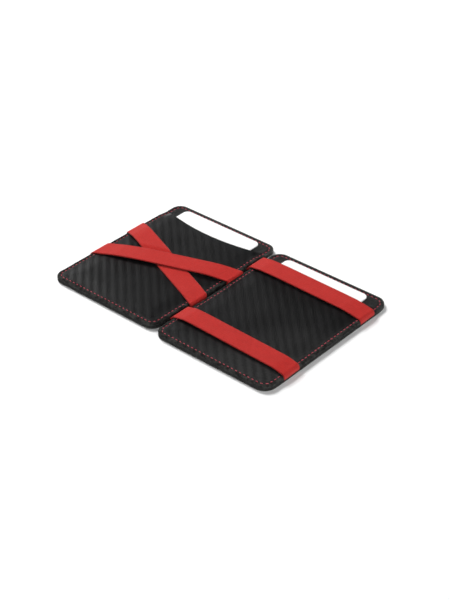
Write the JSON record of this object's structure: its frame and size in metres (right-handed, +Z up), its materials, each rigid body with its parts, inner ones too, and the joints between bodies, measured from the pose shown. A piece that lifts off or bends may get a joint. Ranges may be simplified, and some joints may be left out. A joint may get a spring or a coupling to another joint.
{
  "type": "minimalist wallet",
  "caption": "Flip wallet of flat leather panels, each with a card pocket and thumb cut, joined side by side by crossed and straight elastic bands that lie over the inside faces.",
  "frame": {"origin": "on the table under the middle of the open wallet", "axes": "+X from the left panel to the right panel, +Y towards the card mouths, +Z up out of the inside faces"},
  "size_m": [0.1504, 0.1024, 0.0062],
  "materials": {
    "carbon_leather": "black leather with an embossed carbon twill, satin",
    "smooth_leather": "black fine-grain leather, satin",
    "shielding_film": "thin metallised film",
    "core_board": "pressed grey board",
    "red_thread": "waxed red sewing thread",
    "red_elastic": "woven red elastic",
    "white_card": "smooth white plastic card"
  },
  "bodies": {
    "left_panel": {"left_outer_cover": "carbon_leather", "left_shielding_liner": "shielding_film", "left_core_board": "core_board", "left_backing_leather": "smooth_leather", "left_pocket_front": "carbon_leather", "left_front_stitching": "red_thread", "left_back_stitching": "red_thread", "cross_band_over": "red_elastic", "cross_band_under": "red_elastic", "straight_band_top_tail": "red_elastic", "straight_band_bottom_tail": "red_elastic"},
    "right_panel": {"right_outer_cover": "carbon_leather", "right_shielding_liner": "shielding_film", "right_core_board": "core_board", "right_backing_leather": "smooth_leather", "right_pocket_front": "carbon_leather", "right_front_stitching": "red_thread", "right_back_stitching": "red_thread", "straight_band_top": "red_elastic", "straight_band_bottom": "red_elastic", "cross_band_over_tail": "red_elastic", "cross_band_under_tail": "red_elastic"},
    "left_card": {"left_card": "white_card"},
    "right_card": {"right_card": "white_card"}
  },
  "joints": [
    {"name": "fold", "type": "hinge", "parent": "left_panel", "child": "right_panel", "pos_m": [0, 0, 0.0052], "axis": [0, -1, 0], "range_deg": [0, 179]},
    {"name": "left_card_slide", "type": "slide", "parent": "left_panel", "child": "left_card", "axis": [0, 1, 0], "range_m": [0, 0.092]},
    {"name": "right_card_slide", "type": "slide", "parent": "right_panel", "child": "right_card", "axis": [0, 1, 0], "range_m": [0, 0.092]}
  ]
}
